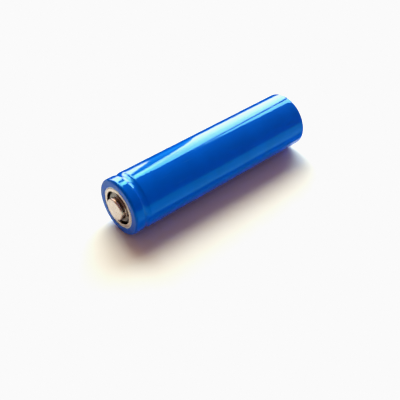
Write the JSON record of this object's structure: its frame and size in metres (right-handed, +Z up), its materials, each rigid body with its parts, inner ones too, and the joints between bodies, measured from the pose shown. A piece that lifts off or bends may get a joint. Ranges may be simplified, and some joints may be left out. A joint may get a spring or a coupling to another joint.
{
  "type": "cylindrical battery cell",
  "caption": "Round rechargeable cell in a shrink sleeve, with a raised button pole at one end, a flat contact at the other and a rolled bead groove near the button.",
  "frame": {"origin": "on the surface the cell lies on, under the middle of its overall length and under its axis", "axes": "the cell's axis is parallel to X with the positive button facing -X; +Z is up"},
  "size_m": [0.0714, 0.0182, 0.0183],
  "materials": {
    "sleeve_film": "glossy heat-shrunk PVC",
    "pole_nickel": "nickel-plated stamped steel",
    "can_nickel": "nickel-plated drawn steel",
    "strip_nickel": "plain nickel strip",
    "white_paper": "pressed insulating paper",
    "seal_plastic": "polypropylene",
    "ptc_polymer": "carbon-filled polymer",
    "vent_aluminium": "soft aluminium sheet",
    "anode_coat": "graphite coating on copper foil",
    "cathode_coat": "oxide coating on aluminium foil",
    "separator_film": "porous polyolefin film",
    "tape_film": "polyimide tape",
    "board_laminate": "solder-masked laminate",
    "chip_mould": "epoxy moulding with tinned leads",
    "chip_ceramic": "fired ceramic with tinned ends"
  },
  "bodies": {
    "root": {"shrink_sleeve": "sleeve_film", "top_washer": "white_paper", "lip_washer": "white_paper", "strap_paper": "white_paper", "tail_washer": "white_paper", "base_paper": "white_paper", "positive_strap": "strip_nickel", "button_plate": "pole_nickel", "steel_can": "can_nickel", "crimp_gasket": "seal_plastic", "top_cap": "can_nickel", "ptc_ring": "ptc_polymer", "safety_vent": "vent_aluminium", "vent_holder": "seal_plastic", "contact_disc": "vent_aluminium", "cathode_tab": "vent_aluminium", "anode_tab": "strip_nickel", "anode_sheet": "anode_coat", "inner_separator": "separator_film", "cathode_sheet": "cathode_coat", "outer_separator": "separator_film", "closing_tape": "tape_film", "centre_pin": "can_nickel", "cover_disc": "seal_plastic", "base_disc": "seal_plastic", "board_carrier": "seal_plastic", "protection_board": "board_laminate", "power_switch_1": "chip_mould", "power_switch_2": "chip_mould", "protection_chip": "chip_mould", "supply_resistor": "chip_ceramic", "sense_resistor": "chip_ceramic", "filter_capacitor": "chip_ceramic", "negative_link": "strip_nickel", "negative_plate": "pole_nickel"}
  },
  "joints": []
}
